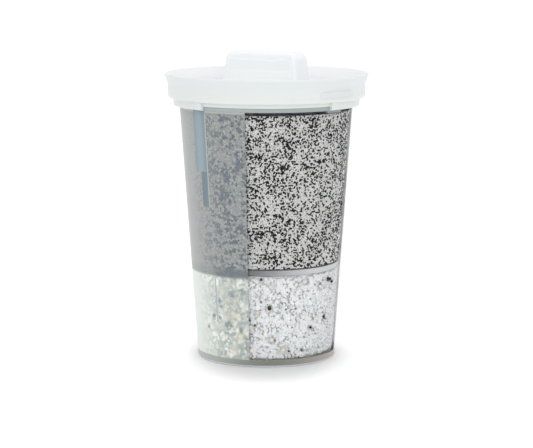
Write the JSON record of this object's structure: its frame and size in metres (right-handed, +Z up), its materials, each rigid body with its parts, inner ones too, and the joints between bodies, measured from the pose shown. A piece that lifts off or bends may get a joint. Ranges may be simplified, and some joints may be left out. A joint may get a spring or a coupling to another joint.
{
  "type": "fluoride filter",
  "caption": "Drop-in water jug filter: a tapered see-through cup with two beds of granules, a flared collar that seats it, and a block grip to lift it out.",
  "frame": {"origin": "middle of the cup's flat bottom, where it stands", "axes": "+Z up along the cartridge's axis, +X along the grip, +Y across the grip"},
  "size_m": [0.0717, 0.0716, 0.1077],
  "materials": {
    "clear_shell": "frosted, with a clear strip",
    "collar_plastic": "frosted",
    "screen_mesh": "fine mesh",
    "foam_pad": "open-cell foam",
    "mixed_granules": "loose grains",
    "divider_plastic": "satin",
    "white_granules": "loose granules",
    "felt_pad": "pressed felt"
  },
  "bodies": {
    "root": {"cup": "clear_shell", "collar_lid": "collar_plastic", "inlet_screen": "screen_mesh", "top_pad": "foam_pad", "upper_bed": "mixed_granules", "divider_screen": "screen_mesh", "divider_plate": "divider_plastic", "lower_bed": "white_granules", "base_pad": "felt_pad", "outlet_screen": "screen_mesh"}
  },
  "joints": []
}
